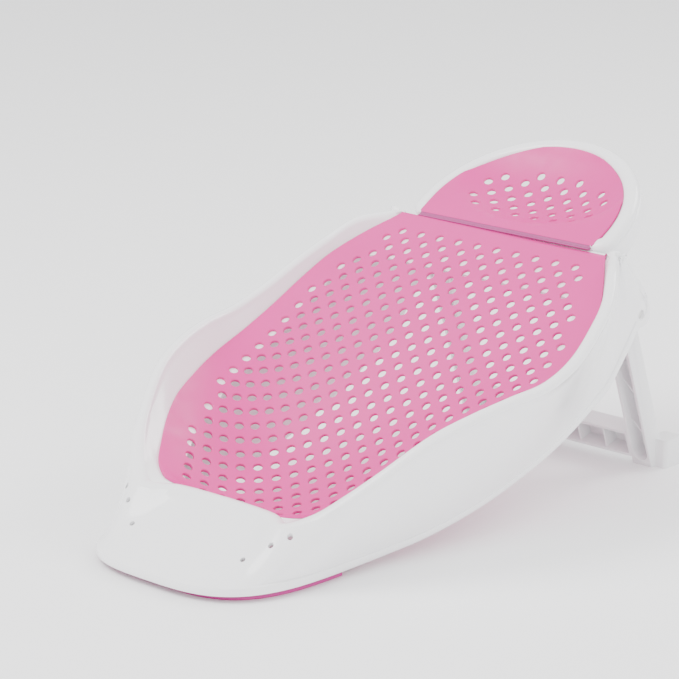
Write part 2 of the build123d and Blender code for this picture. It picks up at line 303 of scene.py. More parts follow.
def block(name, corner, across, along, up, material, bevel=0.8):
    """A moulded block from a corner and its three edges, with eased edges."""
    corner, across, along, up = (np.asarray(v, float) for v in (corner, across, along, up))
    points = [corner + across * i + along * j + up * k
              for k in (0, 1) for j in (0, 1) for i in (0, 1)]
    faces = [(0, 2, 3, 1), (4, 5, 7, 6), (0, 1, 5, 4), (2, 6, 7, 3), (0, 4, 6, 2), (1, 3, 7, 5)]
    piece = make_object(name, points, faces, material)
    soften = piece.modifiers.new("soften", "BEVEL")
    soften.width, soften.segments = bevel * MM, 2
    return plain(piece)


def inside(points, outline):
    """Which points lie within a closed outline."""
    x, y = points[:, 0], points[:, 1]
    held = np.zeros(len(points), bool)
    for (ax, ay), (bx, by) in zip(outline, np.roll(outline, -1, axis=0)):
        crosses = (ay > y) != (by > y)
        level = (bx - ax) * (y - ay) / (by - ay if by != ay else 1) + ax
        held ^= crosses & (x < level)
    return held


def edge_distance(points, outline):
    """Distance of each point to a closed outline."""
    best = np.full(len(points), 1e9)
    for a, b in zip(outline, np.roll(outline, -1, axis=0)):
        run = b - a
        share = np.clip((points - a) @ run / max(run @ run, 1e-9), 0, 1)
        best = np.minimum(best, np.linalg.norm(points - a - share[:, None] * run, axis=1))
    return best


def sheet(name, outline, place, thickness, material, openings=(), spacing=5.0, measure=None):
    """A moulded sheet of even thickness below a surface, with walls round its edge and openings."""
    loops = [np.asarray(outline, float)] + [np.asarray(o, float) for o in openings]
    low, high = loops[0].min(0), loops[0].max(0)
    rows = np.arange(low[1], high[1], spacing * 0.87)
    inner = np.array([(x + (spacing / 2 if j % 2 else 0), y) for j, y in enumerate(rows)
                      for x in np.arange(low[0], high[0], spacing)])
    keep = inside(inner, loops[0])
    for loop in loops:
        keep &= edge_distance(inner, loop) > spacing * 0.45
    for opening in loops[1:]:
        keep &= ~inside(inner, opening)
    flat = np.vstack(loops + [inner[keep]])
    edges, start = [], 0
    for loop in loops:
        edges += [(start + i, start + (i + 1) % len(loop)) for i in range(len(loop))]
        start += len(loop)
    found, _, faces, origin, _, _ = delaunay_2d_cdt([Vector(p) for p in flat], edges, [], 0, 1e-6)
    flat = np.array([tuple(p) for p in found])
    faces = np.array([f for f in faces if len(f) == 3])
    middle = flat[faces].mean(1)
    keep = inside(middle, loops[0])
    for opening in loops[1:]:
        keep &= ~inside(middle, opening)
    faces = faces[keep]
    step = 0.05
    top = place(flat[:, 0], flat[:, 1])
    slope_x = place(flat[:, 0] + step, flat[:, 1]) - top
    slope_y = place(flat[:, 0], flat[:, 1] + step) - top
    normal = np.cross(slope_x, slope_y)
    normal /= np.linalg.norm(normal, axis=1)[:, None]
    sides = np.sort(np.vstack([faces[:, [0, 1]], faces[:, [1, 2]], faces[:, [2, 0]]]), axis=1)
    pairs, uses = np.unique(sides, axis=0, return_counts=True)
    count = len(flat)
    walls = [(a, b, b + count, a + count) for a, b in pairs[uses == 1]]
    skin = [tuple(f) for f in faces] + [tuple(f[::-1] + count) for f in faces] + walls
    points = np.vstack([top, top - normal * thickness])
    used = np.unique(np.concatenate([np.ravel(f) for f in skin]))
    renumber = np.full(2 * count, -1)
    renumber[used] = np.arange(len(used))
    skin = [tuple(renumber[list(f)]) for f in skin]
    piece = make_object(name, points[used], skin, material, sharp=50)
    if measure is not None:
        map_surface(piece, measure, loops[0], flat, top)
    return piece


def map_surface(piece, measure, outline, flat, top):
    """Lays the upper face out flat at its real size in a UV map, the rest far away from it, and
    stores how far each point is from the edge."""
    mesh = piece.data
    points = np.zeros(len(mesh.vertices) * 3)
    mesh.vertices.foreach_get("co", points)
    points = points.reshape(-1, 3) / MM
    order = np.lexsort(np.round(top, 2).T)
    index = {tuple(np.round(top[k], 2)): k for k in order}
    source = np.array([index.get(tuple(np.round(p, 2)), -1) for p in points])
    known = source >= 0
    laid = np.zeros((len(points), 2))
    laid[known] = measure(flat[source[known], 0], flat[source[known], 1])
    near = np.zeros(len(points))
    near[known] = edge_distance(flat[source[known]], outline)
    mesh.attributes.new("edge_distance", "FLOAT", "POINT").data.foreach_set("value", near * MM)
    layer = mesh.uv_layers.new(name="laid_flat")
    # every other face is a single point off the map, so that only the upper face is found on it
    for polygon in mesh.polygons:
        on_top = all(known[v] for v in polygon.vertices)
        for corner, vertex in zip(polygon.loop_indices, polygon.vertices):
            layer.data[corner].uv = laid[vertex] * MM if on_top else (-1.0, -1.0)


# ---- perforations --------------------------------------------------------------------------
def add_node(tree, kind, settings=None, **links):
    """Adds a node with its settings; a link or value goes to the input of that name or number."""
    node = tree.nodes.new(kind)
    for key, value in (settings or {}).items():
        setattr(node, key, value)
    for key, value in links.items():
        number = key[1:] if key[0] == "_" else key
        socket = node.inputs[int(number)] if number.isdigit() else node.inputs[key.replace("_", " ")]
        if isinstance(value, bpy.types.NodeSocket):
            tree.links.new(value, socket)
        else:
            socket.default_value = value
    return node


def punch_object():
    """The tool that makes one hole: a straight pin that flares where it meets the upper face."""
    profile = [(0, -8), (hole_radius, -8), (hole_radius, -0.45), (hole_radius + 0.55, 0.08),
               (hole_radius + 0.7, 4), (0, 4)]
    turns = 16
    points = [(0, 0, profile[0][1]), (0, 0, profile[-1][1])]
    faces = []
    for r, z in profile[1:-1]:
        points += [(r * cos(2 * pi * k / turns), r * sin(2 * pi * k / turns), z) for k in range(turns)]
    rings = len(profile) - 2
    for k in range(turns):
        nxt = (k + 1) % turns
        faces.append((0, 2 + nxt, 2 + k))
        last = 2 + (rings - 1) * turns
        faces.append((1, last + k, last + nxt))
        for ring in range(rings - 1):
            a = 2 + ring * turns
            faces.append((a + k, a + nxt, a + turns + nxt, a + turns + k))
    mesh = bpy.data.meshes.new("hole_punch")
    mesh.from_pydata((np.array(points) * MM).tolist(), [], faces)
    punch = bpy.data.objects.new("hole_punch", mesh)
    bpy.context.scene.collection.objects.link(punch)
    return punch


def perforation_tree():
    """Staggered holes laid out over a surface at its real size and cut through it."""
    tree = bpy.data.node_groups.new("perforations", "GeometryNodeTree")
    face = tree.interface
    face.new_socket("Geometry", in_out="OUTPUT", socket_type="NodeSocketGeometry")
    face.new_socket("Geometry", in_out="INPUT", socket_type="NodeSocketGeometry")
    for name, kind in (("Punch", "Object"), ("Material", "Material"), ("Pitch", "Float"),
                       ("Row spacing", "Float"), ("Margin", "Float"), ("Start", "Float"),
                       ("Columns", "Int"), ("Rows", "Int")):
        face.new_socket(name, in_out="INPUT", socket_type=f"NodeSocket{kind}")
    given = tree.nodes.new("NodeGroupInput").outputs
    less_x = add_node(tree, "ShaderNodeMath", {"operation": "SUBTRACT"}, _0=given["Columns"], _1=1.0)
    less_y = add_node(tree, "ShaderNodeMath", {"operation": "SUBTRACT"}, _0=given["Rows"], _1=1.0)
    width = add_node(tree, "ShaderNodeMath", {"operation": "MULTIPLY"},
                     _0=less_x.outputs[0], _1=given["Pitch"])
    length = add_node(tree, "ShaderNodeMath", {"operation": "MULTIPLY"},
                      _0=less_y.outputs[0], _1=given["Row spacing"])
    lattice = add_node(tree, "GeometryNodeMeshGrid", Size_X=width.outputs[0],
                       Size_Y=length.outputs[0], Vertices_X=given["Columns"],
                       Vertices_Y=given["Rows"])
    index = add_node(tree, "GeometryNodeInputIndex")
    row = add_node(tree, "ShaderNodeMath", {"operation": "MODULO"},
                   _0=index.outputs[0], _1=given["Rows"])
    odd = add_node(tree, "ShaderNodeMath", {"operation": "MODULO"}, _0=row.outputs[0], _1=2.0)
    half = add_node(tree, "ShaderNodeMath", {"operation": "MULTIPLY"},
                    _0=given["Pitch"], _1=odd.outputs[0])
    shift = add_node(tree, "ShaderNodeMath", {"operation": "MULTIPLY"}, _0=half.outputs[0], _1=0.5)
    middle = add_node(tree, "ShaderNodeMath", {"operation": "MULTIPLY_ADD"},
                      _0=length.outputs[0], _1=0.5, _2=given["Start"])
    offset = add_node(tree, "ShaderNodeCombineXYZ", _0=shift.outputs[0], _1=middle.outputs[0])
    spot = add_node(tree, "GeometryNodeInputPosition")
    laid = add_node(tree, "ShaderNodeVectorMath", {"operation": "ADD"},
                    _0=spot.outputs[0], _1=offset.outputs[0])
    flat_map = add_node(tree, "GeometryNodeInputNamedAttribute", {"data_type": "FLOAT_VECTOR"},
                        Name="laid_flat")
    near = add_node(tree, "GeometryNodeInputNamedAttribute", {"data_type": "FLOAT"},
                    Name="edge_distance")
    normal = add_node(tree, "GeometryNodeInputNormal")
    place = add_node(tree, "GeometryNodeInputPosition")

    samples = []
    for kind, value in (("FLOAT_VECTOR", place), ("FLOAT_VECTOR", normal), ("FLOAT", near)):
        sample = add_node(tree, "GeometryNodeSampleUVSurface", {"data_type": kind})
        sources = (given["Geometry"], value.outputs[0], flat_map.outputs[0], laid.outputs[0])
        for socket, source in zip([s for s in sample.inputs if s.enabled], sources):
            tree.links.new(source, socket)
        samples.append([s for s in sample.outputs if s.enabled])
    on_surface, valid = samples[0][:2]
    facing, margin = samples[1][0], samples[2][0]
    # each hole's place and facing are stored first, because deleting points renumbers the rows
    stored = add_node(tree, "GeometryNodeStoreNamedAttribute",
                      {"data_type": "FLOAT_VECTOR", "domain": "POINT"},
                      Geometry=lattice.outputs[0], Name="facing")
    tree.links.new(facing, [s for s in stored.inputs if s.enabled][-1])
    spotted = add_node(tree, "GeometryNodeStoreNamedAttribute",
                       {"data_type": "FLOAT_VECTOR", "domain": "POINT"},
                       Geometry=stored.outputs[0], Name="on_surface")
    tree.links.new(on_surface, [s for s in spotted.inputs if s.enabled][-1])
    stray = add_node(tree, "ShaderNodeMath", {"operation": "LESS_THAN"}, _0=margin, _1=given["Margin"])
    missing = add_node(tree, "FunctionNodeBooleanMath", {"operation": "NOT"}, _0=valid)
    drop = add_node(tree, "FunctionNodeBooleanMath", {"operation": "OR"},
                    _0=stray.outputs[0], _1=missing.outputs[0])
    kept = add_node(tree, "GeometryNodeDeleteGeometry", {"domain": "POINT"},
                    Geometry=spotted.outputs[0], Selection=drop.outputs[0])
    target = add_node(tree, "GeometryNodeInputNamedAttribute", {"data_type": "FLOAT_VECTOR"},
                      Name="on_surface")
    moved = add_node(tree, "GeometryNodeSetPosition", Geometry=kept.outputs[0],
                     Position=target.outputs[0])
    direction = add_node(tree, "GeometryNodeInputNamedAttribute", {"data_type": "FLOAT_VECTOR"},
                         Name="facing")
    turned = add_node(tree, "FunctionNodeAlignRotationToVector", {"axis": "Z"},
                      Vector=direction.outputs[0])
    punch = add_node(tree, "GeometryNodeObjectInfo", Object=given["Punch"])
    punches = add_node(tree, "GeometryNodeInstanceOnPoints", Points=moved.outputs[0],
                       Instance=punch.outputs["Geometry"], Rotation=turned.outputs[0])
    real = add_node(tree, "GeometryNodeRealizeInstances", Geometry=punches.outputs[0])
    cut = add_node(tree, "GeometryNodeMeshBoolean", {"operation": "DIFFERENCE", "solver": "MANIFOLD"},
                   _0=given["Geometry"], _1=real.outputs[0])
    whole = add_node(tree, "GeometryNodeRealizeInstances", Geometry=cut.outputs[0])
    painted = add_node(tree, "GeometryNodeSetMaterial", Geometry=whole.outputs[0],
                       Material=given["Material"])
    tree.links.new(painted.outputs[0], tree.nodes.new("NodeGroupOutput").inputs[0])
    return tree


def perforate(piece, tree, punch, start, rows, columns, material):
    """Cuts the staggered holes, then leaves a plain mesh."""
    modifier = piece.modifiers.new("perforations", "NODES")
    modifier.node_group = tree
    values = {"Punch": punch, "Material": material, "Pitch": hole_pitch * MM,
              "Row spacing": hole_rows_apart * MM, "Margin": plain_margin * MM,
              "Start": start * MM, "Columns": columns, "Rows": rows}
    for item in tree.interface.items_tree:
        if item.in_out == "INPUT" and item.name in values:
            modifier[item.identifier] = values[item.name]
    plain(piece)
    if "laid_flat" in piece.data.uv_layers:
        piece.data.uv_layers.remove(piece.data.uv_layers["laid_flat"])
    work = bmesh.new()
    work.from_mesh(piece.data)
    bmesh.ops.remove_doubles(work, verts=work.verts, dist=0.000005)
    bmesh.ops.dissolve_degenerate(work, edges=work.edges, dist=0.000005)
    work.to_mesh(piece.data)
    work.free()
    for polygon in piece.data.polygons:
        polygon.use_smooth = True
    piece.data.set_sharp_from_angle(angle=radians(28))
    return piece


# ---- materials -------------------------------------------------------------------------------
def colour(code):
    """Linear colour of an sRGB hex value."""
    parts = [int(code[i:i + 2], 16) / 255 for i in (1, 3, 5)]
    return tuple(c / 12.92 if c <= 0.04045 else ((c + 0.055) / 1.055) ** 2.4 for c in parts) + (1,)


def moulded(name, tints, gloss, grain_mm, grain_depth_mm, wave_mm=0, wave_depth_mm=0,
            ior=1.49, soft=0.0):
    """A moulded plastic: tints mottled slowly, gloss varied a little, fine grain and slow waves."""
    material = bpy.data.materials.new(name)
    material.use_nodes = True
    tree = material.node_tree
    tree.nodes.clear()
    place = add_node(tree, "ShaderNodeTexCoord").outputs["Object"]
    mottle = add_node(tree, "ShaderNodeTexNoise", Vector=place, Scale=1 / (60 * MM), Detail=3.0)
    tint = add_node(tree, "ShaderNodeMix", {"data_type": "RGBA"}, Factor=mottle.outputs[0])
    tint.inputs[6].default_value = colour(tints[0])
    tint.inputs[7].default_value = colour(tints[1])
    patches = add_node(tree, "ShaderNodeTexNoise", Vector=place, Scale=1 / (14 * MM), Detail=4.0)
    rough = add_node(tree, "ShaderNodeMapRange", Value=patches.outputs[0],
                     From_Min=0.3, From_Max=0.7, To_Min=gloss[0], To_Max=gloss[1])
    grain = add_node(tree, "ShaderNodeTexNoise", Vector=place, Scale=1 / (grain_mm * MM), Detail=2.0)
    bump = add_node(tree, "ShaderNodeBump", Height=grain.outputs[0], Strength=1.0,
                    Distance=grain_depth_mm * MM)
    normal = bump.outputs[0]
    if wave_mm:
        wave = add_node(tree, "ShaderNodeTexNoise", Vector=place, Scale=1 / (wave_mm * MM), Detail=1.0)
        normal = add_node(tree, "ShaderNodeBump", Height=wave.outputs[0], Strength=1.0,
                          Distance=wave_depth_mm * MM, Normal=normal).outputs[0]
    shader = add_node(tree, "ShaderNodeBsdfPrincipled", Base_Color=tint.outputs[2],
                      Roughness=rough.outputs[0], Normal=normal, IOR=ior)
    if soft:
        shader.inputs["Subsurface Weight"].default_value = soft
        shader.inputs["Subsurface Radius"].default_value = (1.0, 0.45, 0.6)
        shader.inputs["Subsurface Scale"].default_value = 2 * MM
    output = add_node(tree, "ShaderNodeOutputMaterial", Surface=shader.outputs[0])
    output.is_active_output = True
    return material


# gloss from a polished mould, with the slow waviness and faint orange peel of thin PP walls
glossy_polypropylene = moulded("glossy_polypropylene", ("#FAFAFB", "#F7F7F9"), (0.13, 0.2),
                               1.4, 0.006, 18, 0.03)
# a spark-eroded mould leaves a dull even skin on the stand's polypropylene
satin_polypropylene = moulded("satin_polypropylene", ("#F0F0F1", "#EAEAEC"), (0.34, 0.44), 0.9, 0.02)
# soft TPE: a silky skin that light enters a little, with fine pebbling
satin_elastomer = moulded("satin_elastomer", ("#DE2C94", "#D6278C"), (0.38, 0.5), 0.8, 0.03,
                          ior=1.5, soft=0.12)
# the grip strip's TPE is darker and dull, so that it holds a wet floor
grip_elastomer = moulded("grip_elastomer", ("#C43A90", "#BA3487"), (0.55, 0.68), 0.7, 0.05)
# the hinge is the same silky TPE, painted a deeper pink for the shade that falls in its groove, without
# the light that enters the liner
hinge_elastomer_painted_shade = moulded("hinge_elastomer_painted_shade", ("#A83A80", "#9C3376"), (0.4, 0.5), 0.8, 0.02)
# acetal pins come from the mould slick, with a very fine grain
slick_acetal = moulded("slick_acetal", ("#E4E4E2", "#DCDCDA"), (0.24, 0.32), 0.5, 0.01, ior=1.48)
# the floor is a dull white board that shows only soft shadows
pale_board = moulded("pale_board", ("#FDFDFE", "#FBFBFC"), (0.5, 0.6), 3.0, 0.02)


# ---- main shell ------------------------------------------------------------------------------
def guides(places):
    """Bottom edge, rim crest and seat edge at places round the rim: the nose's middle is 0, the
    sides run from 1 to 3 and the raked back from 3 to 4."""
    side = hull_lines[:, 0]
    side_place = 1 + 2 * (side - nose_start) / (side[-1] - nose_start)
    ear = [(ear_x, pivot_y + ear_radius * cos(radians(a)), pivot_z + ear_radius * sin(radians(a)))
           for a in (-101, -65, -30, 0, 35)]
    # the raked back from the skirt up round the ear to the neck: x, y and height
    back = [(121.7, crease_y + 8, 106), (121.3, crease_y + 22, 121.5)] + ear
    back += [(121, crease_y + 30, 173), (121.4, crease_y + 12, crease_z - 12)]
    back_place = [3.14, 3.28, 3.4, 3.48, 3.54, 3.6, 3.67, 3.84, 4]
    bottom_at = through(np.concatenate([side_place, back_place]),
                        np.vstack([np.stack([hull_lines[:, 1], lip_y + side, hull_lines[:, 2]], -1),
                                   back]))
    rim = np.stack([hull_lines[:, 3] - bead_half, lip_y + side, hull_lines[:, 4]], -1)
    rim_rows = np.vstack([[(x, lip_y + d, z) for _, x, d, z in ridge], rim,
                          [(122.5, crease_y - 1, 204.5), (121, crease_y + 8, 203)]])
    rim_at = through(np.concatenate([[r[0] for r in ridge], side_place, [3.4, 4]]), rim_rows)
    edge = np.stack([seat_at(side)[:, 1], lip_y + side], -1)
    edge_rows = np.vstack([[(x, lip_y + d) for _, x, d in seat_front], edge,
                           [(116.3, crease_y - 3), (115.4, crease_y + 3)]])
    edge_at = through(np.concatenate([[r[0] for r in seat_front], side_place, [3.4, 4]]), edge_rows)
    bottom = np.where((places < 1)[:, None], nose_edge(np.minimum(places, 1)), bottom_at(places))
    seat_edge = edge_at(places)
    height = seat_height(seat_edge[:, 0], seat_edge[:, 1])
    return bottom, rim_at(places), np.column_stack([seat_edge, height])


def outward(line):
    """Level normals of a line that runs from the nose's middle up one side."""
    run = np.gradient(line[:, :2], axis=0)
    normal = np.stack([run[:, 1], -run[:, 0], np.zeros(len(run))], -1)
    normal[0, 0] = 0
    return normal / np.maximum(np.linalg.norm(normal, axis=1), 1e-9)[:, None]


def shell_stations():
    """Places round the rim where the skin has its sections."""
    fine = [np.linspace(0, 1, 44, endpoint=False), np.linspace(1, 3, 64, endpoint=False),
            np.linspace(3, 4, 40)]
    return np.concatenate(fine)


def shell_skin():
    """The skirt, rolled rim and basin wall as one closed skin, right round from neck to neck."""
    places = shell_stations()
    bottom, crest, seat_edge = guides(places)
    up = np.array([0, 0, 1.0])
    out_low, out_rim = outward(bottom), outward(crest)
    out_low[places > 3] = (1, 0, 0)
    out_rim[places > 3] = (1, 0, 0)
    side = ease(0.55, 1.1, places)[:, None]
    room = np.minimum(1, np.linalg.norm(crest - bottom, axis=1) / 45)[:, None]
    drop = np.clip((crest[:, 2] - seat_edge[:, 2]) * 0.8, 1.5, bead_half)[:, None]
    climb = crest - bottom
    climb /= np.linalg.norm(climb, axis=1)[:, None]
    rising = up + (climb - up) * side
    rising /= np.linalg.norm(rising, axis=1)[:, None]
    recess = flange_step + flange_step * side
    flange = (flange_high + side) * room
    # upright band round the bottom edge, and the step above it
    lip = [(-1.2, 0), (-0.35, 0.35), (0, 1.2), (0, flange - 1.4), (-0.4, flange - 0.4),
           (-recess - 0.3 - 2 * (1 - side), flange)]
    skin = [bottom + out_low * out + rising * high for out, high in lip]
    begin = skin[-1]
    half = bead_front_half - (bead_front_half - bead_half) * side
    bead_high = bead_front_high * (1 - side) + drop * side
    bead_high = bead_high * np.maximum(room, 0.4)
    end = crest + out_rim * (half - recess * side) - up * bead_high * (0.55 + 0.85 * side)
    # the tray at the nose and the skirt at the sides, each bowed a little
    for share in np.linspace(0, 1, 12)[1:]:
        sag = 4 * share * (1 - share)
        skin.append(begin + (end - begin) * share - up * tray_sag * sag * (1 - side)
                    + out_low * side_sag * sag * side * room)
    # the rolled rim
    first, last = radians(28) - radians(40) * side, radians(152) + radians(30) * side
    for share in np.linspace(0, 1, 11):
        angle = first + (last - first) * share
        skin.append(crest + out_rim * half * np.cos(angle) + up * bead_high * (np.sin(angle) - 1))
    # the basin wall down to the edge of the seat
    begin = skin[-1]
    for share in np.linspace(0, 1, 7)[1:]:
        skin.append(begin + (seat_edge - begin) * share)
    # both halves, then the same skin again one wall inside
    outer = np.stack(skin, 1)
    outer = np.concatenate([outer[::-1] * (-1, 1, 1), outer[1:]])
    along = np.gradient(outer, axis=0)
    across = np.gradient(outer, axis=1)
    normal = np.cross(across, along)
    normal /= np.maximum(np.linalg.norm(normal, axis=2), 1e-9)[..., None]
    middle = len(places) - 1
    facing = np.sign(normal[middle, 8, 2]) or 1
    inner = outer - normal * facing * wall
    return sweep(np.concatenate([outer, inner[:, ::-1]], 1))


def seat_outline(grow):
    """Plan outline of the seat's edge, from the nose round to the neck line, grown outwards."""
    places = shell_stations()
    places = places[places <= 3.4]
    edge = guides(places)[2]
    right = edge[:, :2] + outward(edge)[:, :2] * grow
    right[:, 1] = np.minimum(right[:, 1], crease_y - 1.6)
    right[0, 0] = 0
    keep = np.concatenate([[True], np.linalg.norm(np.diff(right, axis=0), axis=1) > 0.4])
    right = right[keep]
    return np.concatenate([right, (right[::-1] * (-1, 1))[:-1]])


def window_outline():
    """Opening in the shell under the liner, with rounded corners."""
    distances = np.linspace(window_front, window_back, 40)
    half = seat_at(distances)[:, 1] - window_margin
    corner = 13
    ends = np.minimum(distances - window_front, window_back - distances)
    cut = corner - np.sqrt(np.clip(corner ** 2 - np.clip(corner - ends, 0, None) ** 2, 0, None))
    right = np.stack([half - cut, lip_y + distances], -1)
    return np.concatenate([right, right[::-1] * (-1, 1)])


def seat_sheet_place(lift):
    """The seat surface raised by lift, as a place for each x and y."""
    return lambda x, y: np.stack([x, y, seat_height(x, y) + lift], -1)


def cut_round_holes(piece, spots):
    """Bores and drain holes: each has a middle, a direction, a radius and a length."""
    for middle, direction, radius, length in spots:
        work = bmesh.new()
        bmesh.ops.create_cone(work, cap_ends=True, segments=28, radius1=radius * MM,
                              radius2=radius * MM, depth=length * MM)
        turn = Vector((0, 0, 1)).rotation_difference(Vector(direction)).to_matrix().to_4x4()
        bmesh.ops.transform(work, matrix=turn, verts=work.verts)
        bmesh.ops.translate(work, vec=Vector(middle) * MM, verts=work.verts)
        mesh = bpy.data.meshes.new("cutter")
        work.to_mesh(mesh)
        work.free()
        cutter = bpy.data.objects.new("cutter", mesh)
        bpy.context.scene.collection.objects.link(cutter)
        modifier = piece.modifiers.new("hole", "BOOLEAN")
        modifier.operation, modifier.solver, modifier.object = "DIFFERENCE", "EXACT", cutter
        plain(piece)
        bpy.data.objects.remove(cutter)
    return piece


def neck_wall(name, half, facing, top, deep, material):
    """The wall that hangs from the hinge line, on one side of it."""
    slope = np.array([0, cos(recline), sin(recline)])
    down = np.array([0, sin(recline), -cos(recline)])
    corner = np.array([-half, crease_y, crease_z]) + slope * facing * neck_gap + down * top
    return block(name, corner, (2 * half, 0, 0), slope * facing * wall, down * (deep - top), material)


def main_shell():
    """The white moulding: skin, seat pan, neck wall and the bosses round the pins."""
    skin = make_object("main_shell", *shell_skin(), glossy_polypropylene)
    spots = [((side * bore_middle, pivot_y, pivot_z), (1, 0, 0), bore_radius, bore_length)
             for side in (-1, 1)]
    for x, distance in drain_holes:
        for side in (-1, 1):
            lean = (side * drain_lean[0], drain_lean[1], drain_lean[2])
            spots.append(((side * x, lip_y + distance, drain_level), lean, drain_radius,
                          drain_length))
    cut_round_holes(skin, spots)
    pan = sheet("seat_pan", seat_outline(1.2), seat_sheet_place(0), wall, glossy_polypropylene,
                openings=[window_outline()], spacing=8)
    parts = [skin, pan, neck_wall("neck_wall", ear_x - 3, -1, liner_lift + 1, neck_beam,
                                  glossy_polypropylene)]
    for side in (-1, 1):
        ring = [(boss_face, bore_radius), (boss_face, boss_radius - 0.6),
                (boss_face + 0.6, boss_radius), (ear_x - 1, boss_radius), (ear_x - 1, bore_radius)]
        parts.append(revolved("boss", [(side * x, r) for x, r in ring], (pivot_y, pivot_z),
                              glossy_polypropylene))
    return finished(joined("main_shell_moulding", parts), "tub", ["main_shell"])


def grip_strip():
    """The strip under the front: a rounded band that follows the bottom edge."""
    places = np.linspace(0, 1, 60)
    edge = nose_edge(places)
    edge[:, 2] = 0
    out = outward(edge)
    out[-1] = (1, 0, 0)
    draw_in = strip_nose_inset - strip_side_inset
    inset = (strip_nose_inset - draw_in * ease(0, 1, places))[:, None]
    ring = [(-strip_corner, 0), (0, strip_corner), (0, strip_height), (-strip_width, strip_height),
            (-strip_width, strip_corner), (strip_corner - strip_width, 0)]
    right = np.stack([edge + out * (o - inset) + np.array([0, 0, h]) for o, h in ring], 1)
    grid = np.concatenate([right[::-1] * (-1, 1, 1), right[1:]])
    strip = make_object("grip_strip", *sweep(grid), grip_elastomer)
    return finished(strip, "tub", ["front_grip_strip"])


def seat_measure(x, y):
    """Distances over the seat: across from its middle and along from its front."""
    line = np.linspace(lip_y + 80, crease_y + 20, 400)
    rise = seat_height(np.zeros(400), line)
    run = np.concatenate([[0], np.cumsum(np.hypot(np.diff(line), np.diff(rise)))])
    shares = np.linspace(0, 1, 17)
    level = np.array([seat_height(x * share, y) for share in shares])
    steps = np.hypot(np.diff(level, axis=0), np.abs(x) / 16)
    return np.stack([np.sign(x) * steps.sum(0), np.interp(y, line, run)], -1)


def seat_liner(tree, punch):
    """The soft perforated sheet that lies on the seat."""
    piece = sheet("seat_liner_skin", seat_outline(-1.5), seat_sheet_place(liner_lift), liner,
                  satin_elastomer, spacing=4.5, measure=seat_measure)
    perforate(piece, tree, punch, start=30, rows=36, columns=17, material=satin_elastomer)
    return finished(piece, "tub", ["seat_liner"])


# ---- headrest ----------------------------------------------------------------------------------
def headrest_outline(inset, low):
    """Half outline from the neck end round the top: lower corner, side, half an ellipse."""
    side, corner = headrest_half - inset, max(headrest_corner - inset, 3)
    turn = np.radians(np.linspace(-90, 0, 12))
    lower = np.stack([side - corner + corner * np.cos(turn), low + corner + corner * np.sin(turn)], -1)
    sweep_angle = np.radians(np.linspace(0, 90, 48))
    upper = np.stack([side * np.cos(sweep_angle),
                      headrest_shoulder + (headrest_top - inset - headrest_shoulder)
                      * np.sin(sweep_angle)], -1)
    return np.vstack([lower, upper])


def whole_outline(half):
    """A closed outline from its right half."""
    return np.concatenate([half, (half[::-1] * (-1, 1))[1:]])


def headrest_shell():
    """The headrest's white cup: rolled rim, skirt, pan and neck wall."""
    path = whole_outline(np.vstack([[(headrest_half - headrest_rim, neck_gap)],
                                    headrest_outline(0, neck_gap)]))
    run = np.gradient(path, axis=0)
    out = np.stack([run[:, 1], -run[:, 0]], -1)
    out /= np.linalg.norm(out, axis=1)[:, None]
    depth = headrest_depth_neck + (headrest_depth_top - headrest_depth_neck) * path[:, 1] / headrest_top
    # distance out from the outline and height; a height of None is the skirt's bottom edge
    section = [(-0.7, None, 0), (0, None, 0.8), (0, -9.4, 0), (-0.8, -8.6, 0), (-0.9, -7.8, 0),
               (-0.3, -6.8, 0), (0, -5, 0), (-0.8, -2.6, 0), (-2.6, -0.8, 0), (-5, -0.1, 0),
               (-8, 0, 0), (-10.6, -0.5, 0), (-12.4, -1.6, 0),
               (-headrest_rim, -2.8, 0), (-headrest_rim, -5.8, 0),
               (-5.6, -6, 0), (-3.4, -8, 0), (-wall, -12, 0), (-wall, None, 0.8), (-2.3, None, 0)]
    grid = []
    for o, n, above in section:
        level = -depth + above if n is None else np.full(len(path), float(n))
        spot = path + out * o
        grid.append(headrest_point(spot[:, 0], np.maximum(spot[:, 1], neck_gap), level))
    rim = make_object("headrest_rim", *sweep(np.stack(grid, 1)), glossy_polypropylene)
    turn = np.linspace(0, 2 * pi, 72, endpoint=False)
    window = np.stack([(dish_half - window_margin / 2) * np.cos(turn),
                       dish_centre + (dish_half_length - window_margin / 2) * np.sin(turn)], -1)
    pan = sheet("headrest_pan", whole_outline(headrest_outline(headrest_rim - 1, neck_gap + 0.2)),
                lambda x, s: headrest_point(x, s, -liner_lift - dish(x, s)), wall,
                glossy_polypropylene, openings=[window], spacing=6)
    front = neck_wall("headrest_neck_wall", headrest_half - 12, 1, liner_lift + 0.2,
                      headrest_depth_neck, glossy_polypropylene)
    return finished(joined("headrest_moulding", [rim, pan, front]), "headrest",
                    ["headrest_shell"])


def headrest_liner(tree, punch):
    """The soft perforated sheet in the headrest's cup."""
    outline = whole_outline(headrest_outline(headrest_rim + 0.4, 1.65))
    piece = sheet("headrest_liner_skin", outline,
                  lambda x, s: headrest_point(x, s, -dish(x, s)), liner, satin_elastomer,
                  spacing=4.0, measure=lambda x, s: np.stack([x, s], -1))
    perforate(piece, tree, punch, start=18, rows=11, columns=11, material=satin_elastomer)
    return finished(piece, "headrest", ["headrest_liner"])


def neck_hinge():
    """The thin groove of soft plastic on the hinge line, between tub and headrest."""
    ring = [(-2.6, -0.4), (-1.9, -0.1), (-1.0, -0.9), (0, -1.3), (1.0, -0.9), (1.9, -0.1),
            (2.6, -0.4), (2.6, -2.0), (1.2, -2.4), (0, -2.6), (-1.2, -2.4), (-2.6, -2.0)]
    across = np.linspace(-crease_half, crease_half, 48)
    grid = np.stack([headrest_point(across, s, n) for s, n in ring], 1)
    # the groove's deeper pink is painted shade, on the same TPE as the liner
    hinge = make_object("neck_hinge_groove", *sweep(grid), hinge_elastomer_painted_shade)
    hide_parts("neck_hinge_web")
    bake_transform(hinge)


